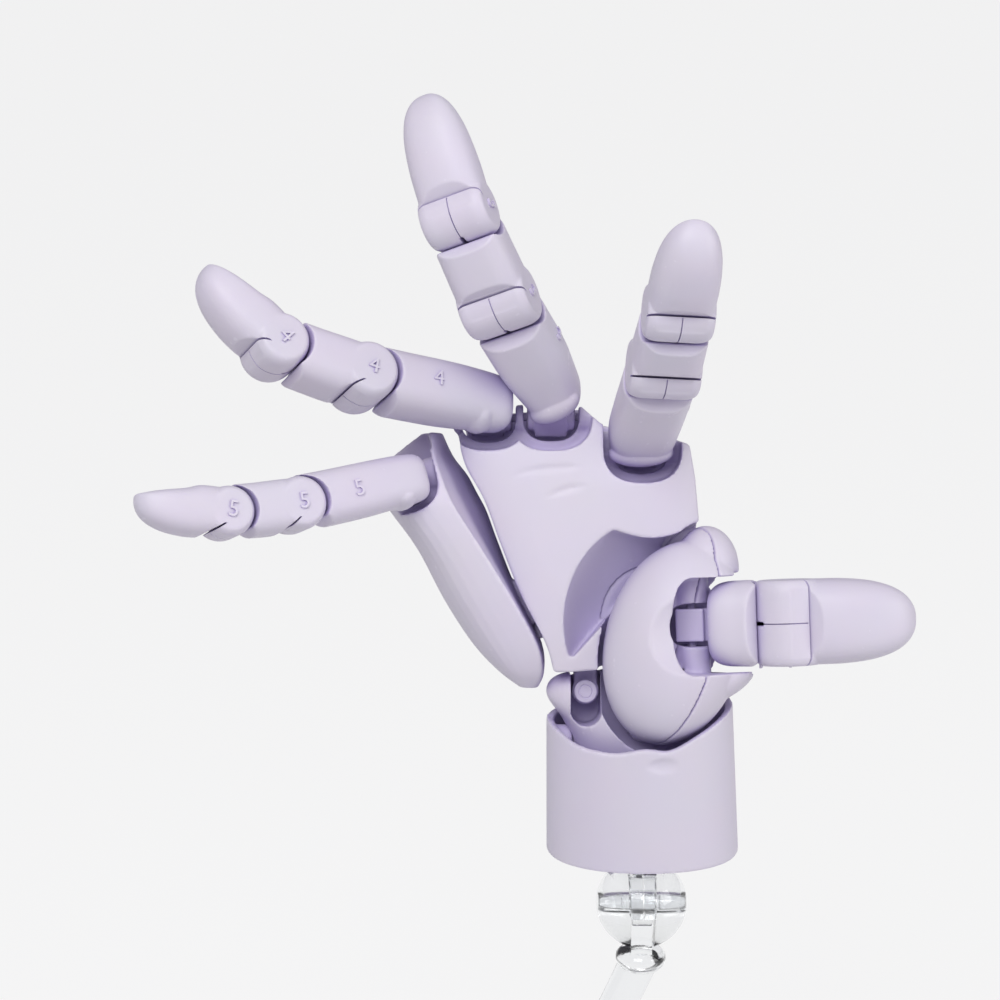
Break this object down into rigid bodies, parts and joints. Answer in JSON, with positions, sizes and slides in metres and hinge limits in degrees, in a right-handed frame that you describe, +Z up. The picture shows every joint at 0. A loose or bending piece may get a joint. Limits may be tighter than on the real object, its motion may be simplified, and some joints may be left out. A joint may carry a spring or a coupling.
{
  "type": "posable hand model",
  "caption": "Right hand of matte plastic for drawing poses, with pinned finger, thumb, palm and wrist joints, held upright on a clear stand with a hinged arm.",
  "frame": {"origin": "centre of the stand's underside", "axes": "+Z up, -Y the side that the palm faces, +X the side of the thumb"},
  "size_m": [0.1767, 0.118, 0.294],
  "materials": {
    "hand_plastic": "fine matte moulded, very light lavender",
    "clear_plastic": "clear and polished"
  },
  "bodies": {
    "root": {"stand_base": "clear_plastic"},
    "stand_post": {"stand_post": "clear_plastic", "stand_arm_pin": "clear_plastic"},
    "stand_arm": {"stand_arm": "clear_plastic"},
    "stand_head": {"stand_head_left": "clear_plastic", "stand_head_right": "clear_plastic", "stand_head_pin": "clear_plastic"},
    "wrist_cuff": {"wrist_cuff": "hand_plastic", "cuff_end_cap": "hand_plastic", "wrist_axle": "hand_plastic"},
    "wrist_block": {"wrist_block": "hand_plastic", "wrist_pin": "hand_plastic"},
    "palm": {"palm_front": "hand_plastic", "palm_back": "hand_plastic", "palm_fold_pin": "hand_plastic", "index_knuckle_pin": "hand_plastic", "middle_knuckle_pin": "hand_plastic", "ring_knuckle_pin": "hand_plastic"},
    "index_knuckle": {"index_knuckle": "hand_plastic"},
    "index_proximal": {"index_splay_pin": "hand_plastic", "index_proximal": "hand_plastic", "index_bend_pin": "hand_plastic"},
    "index_middle": {"index_middle": "hand_plastic", "index_tip_pin": "hand_plastic"},
    "index_distal": {"index_distal": "hand_plastic"},
    "middle_knuckle": {"middle_knuckle": "hand_plastic"},
    "middle_proximal": {"middle_splay_pin": "hand_plastic", "middle_proximal": "hand_plastic", "middle_bend_pin": "hand_plastic"},
    "middle_middle": {"middle_middle": "hand_plastic", "middle_tip_pin": "hand_plastic"},
    "middle_distal": {"middle_distal": "hand_plastic"},
    "ring_knuckle": {"ring_knuckle": "hand_plastic"},
    "ring_proximal": {"ring_splay_pin": "hand_plastic", "ring_proximal": "hand_plastic", "ring_bend_pin": "hand_plastic"},
    "ring_middle": {"ring_middle": "hand_plastic", "ring_tip_pin": "hand_plastic"},
    "ring_distal": {"ring_distal": "hand_plastic"},
    "palm_side": {"palm_side": "hand_plastic", "little_knuckle_pin": "hand_plastic"},
    "little_knuckle": {"little_knuckle": "hand_plastic"},
    "little_proximal": {"little_splay_pin": "hand_plastic", "little_proximal": "hand_plastic", "little_bend_pin": "hand_plastic"},
    "little_middle": {"little_middle": "hand_plastic", "little_tip_pin": "hand_plastic"},
    "little_distal": {"little_distal": "hand_plastic"},
    "thumb_saddle": {"thumb_saddle": "hand_plastic"},
    "thumb_base": {"thumb_base_front": "hand_plastic", "thumb_base_back": "hand_plastic", "thumb_knuckle_pin": "hand_plastic"},
    "thumb_knuckle": {"thumb_knuckle": "hand_plastic"},
    "thumb_proximal": {"thumb_splay_pin": "hand_plastic", "thumb_proximal": "hand_plastic", "thumb_bend_pin": "hand_plastic"},
    "thumb_distal": {"thumb_distal": "hand_plastic"}
  },
  "joints": [
    {"name": "stand_turn", "type": "hinge", "parent": "root", "child": "stand_post", "pos_m": [0, 0, 0], "axis": [0, 0, 1], "continuous": true},
    {"name": "stand_arm_tilt", "type": "hinge", "parent": "stand_post", "child": "stand_arm", "pos_m": [0, 0, 0.023], "axis": [0, 1, 0], "range_deg": [-40, 15]},
    {"name": "stand_head_tilt", "type": "hinge", "parent": "stand_arm", "child": "stand_head", "pos_m": [0.02907, 0, 0.10287], "axis": [1, 0, 0], "range_deg": [-30, 30]},
    {"name": "hand_turn", "type": "hinge", "parent": "stand_head", "child": "wrist_cuff", "pos_m": [0.02907, 0, 0.10287], "axis": [0, 0, 1], "range_deg": [-90, 90]},
    {"name": "wrist_flex", "type": "hinge", "parent": "wrist_cuff", "child": "wrist_block", "pos_m": [0.01527, 0, 0.14402], "axis": [1, 0, 0], "range_deg": [-12, 14]},
    {"name": "wrist_sway", "type": "hinge", "parent": "wrist_block", "child": "palm", "pos_m": [0.01527, 0.00278, 0.15517], "axis": [0, -0.9703, 0.2419], "range_deg": [-5, 5]},
    {"name": "palm_side_fold", "type": "hinge", "parent": "palm", "child": "palm_side", "pos_m": [0.00187, 0.01039, 0.17492], "axis": [-0.36, 0.2257, 0.9052], "range_deg": [-15, 8]},
    {"name": "thumb_spread", "type": "hinge", "parent": "palm", "child": "thumb_saddle", "pos_m": [0.03359, -0.0048, 0.15992], "axis": [0, 0.9703, -0.2419], "range_deg": [-4, 5]},
    {"name": "thumb_swing", "type": "hinge", "parent": "thumb_saddle", "child": "thumb_base", "pos_m": [0.03359, -0.0048, 0.15992], "axis": [-0.2419, -0.2347, -0.9415], "range_deg": [-5, 30]},
    {"name": "thumb_knuckle_flex", "type": "hinge", "parent": "thumb_base", "child": "thumb_knuckle", "pos_m": [0.03977, -0.0006, 0.1722], "axis": [0.0349, -0.2418, -0.9697], "range_deg": [-12, 45]},
    {"name": "thumb_splay", "type": "hinge", "parent": "thumb_knuckle", "child": "thumb_proximal", "pos_m": [0.04867, -0.00236, 0.17296], "axis": [0.2078, 0.9508, -0.2296], "range_deg": [-9, 9]},
    {"name": "thumb_bend", "type": "hinge", "parent": "thumb_proximal", "child": "thumb_distal", "pos_m": [0.06177, -0.00495, 0.17408], "axis": [0.0349, -0.2418, -0.9697], "range_deg": [-4, 84]},
    {"name": "index_knuckle_lift", "type": "hinge", "parent": "palm", "child": "index_knuckle", "pos_m": [0.02827, 0.01725, 0.2099], "axis": [-1, 0, 0], "range_deg": [-14, 64]},
    {"name": "index_splay", "type": "hinge", "parent": "index_knuckle", "child": "index_proximal", "pos_m": [0.02827, 0.01036, 0.21568], "axis": [0, 0.6428, 0.766], "range_deg": [-12, 12]},
    {"name": "index_bend", "type": "hinge", "parent": "index_proximal", "child": "index_middle", "pos_m": [0.03157, -0.01287, 0.23517], "axis": [0.9942, 0.0827, -0.0694], "range_deg": [-4, 92]},
    {"name": "index_tip", "type": "hinge", "parent": "index_middle", "child": "index_distal", "pos_m": [0.0337, -0.02617, 0.24996], "axis": [0.9942, 0.0827, -0.0694], "range_deg": [-4, 81]},
    {"name": "middle_knuckle_lift", "type": "hinge", "parent": "palm", "child": "middle_knuckle", "pos_m": [0.00727, 0.0189, 0.21732], "axis": [-1, 0, 0], "range_deg": [-33, 45]},
    {"name": "middle_splay", "type": "hinge", "parent": "middle_knuckle", "child": "middle_proximal", "pos_m": [0.00727, 0.01426, 0.22504], "axis": [0, 0.8572, 0.515], "range_deg": [-1, 14]},
    {"name": "middle_bend", "type": "hinge", "parent": "middle_proximal", "child": "middle_middle", "pos_m": [-0.00498, 0.00072, 0.24757], "axis": [0.9063, -0.2177, 0.3623], "range_deg": [-4, 104]},
    {"name": "middle_tip", "type": "hinge", "parent": "middle_middle", "child": "middle_distal", "pos_m": [-0.0138, -0.00251, 0.26768], "axis": [0.9063, -0.2177, 0.3623], "range_deg": [-4, 100]},
    {"name": "ring_knuckle_lift", "type": "hinge", "parent": "palm", "child": "ring_knuckle", "pos_m": [-0.00753, 0.01904, 0.21708], "axis": [-1, 0, 0], "range_deg": [-9, 69]},
    {"name": "ring_splay", "type": "hinge", "parent": "ring_knuckle", "child": "ring_proximal", "pos_m": [-0.00753, 0.01167, 0.22224], "axis": [0, 0.5736, 0.8192], "range_deg": [-2, 20]},
    {"name": "ring_bend", "type": "hinge", "parent": "ring_proximal", "child": "ring_middle", "pos_m": [-0.03629, 0.00018, 0.23029], "axis": [0.4384, -0.7362, 0.5155], "range_deg": [-4, 60]},
    {"name": "ring_tip", "type": "hinge", "parent": "ring_middle", "child": "ring_distal", "pos_m": [-0.05529, -0.00549, 0.23834], "axis": [0.4384, -0.7362, 0.5155], "range_deg": [-4, 104]},
    {"name": "little_knuckle_lift", "type": "hinge", "parent": "palm_side", "child": "little_knuckle", "pos_m": [-0.02713, 0.01046, 0.20335], "axis": [-0.9659, -0.0626, -0.2511], "range_deg": [-2, 87]},
    {"name": "little_splay", "type": "hinge", "parent": "little_knuckle", "child": "little_proximal", "pos_m": [-0.02725, 0.00185, 0.20596], "axis": [-0.2585, 0.2841, 0.9233], "range_deg": [-10, 25]},
    {"name": "little_bend", "type": "hinge", "parent": "little_proximal", "child": "little_middle", "pos_m": [-0.05109, -0.01162, 0.20344], "axis": [0.4265, -0.824, 0.373], "range_deg": [-4, 90]},
    {"name": "little_tip", "type": "hinge", "parent": "little_middle", "child": "little_distal", "pos_m": [-0.06602, -0.01931, 0.20353], "axis": [0.4265, -0.824, 0.373], "range_deg": [-4, 86]}
  ]
}
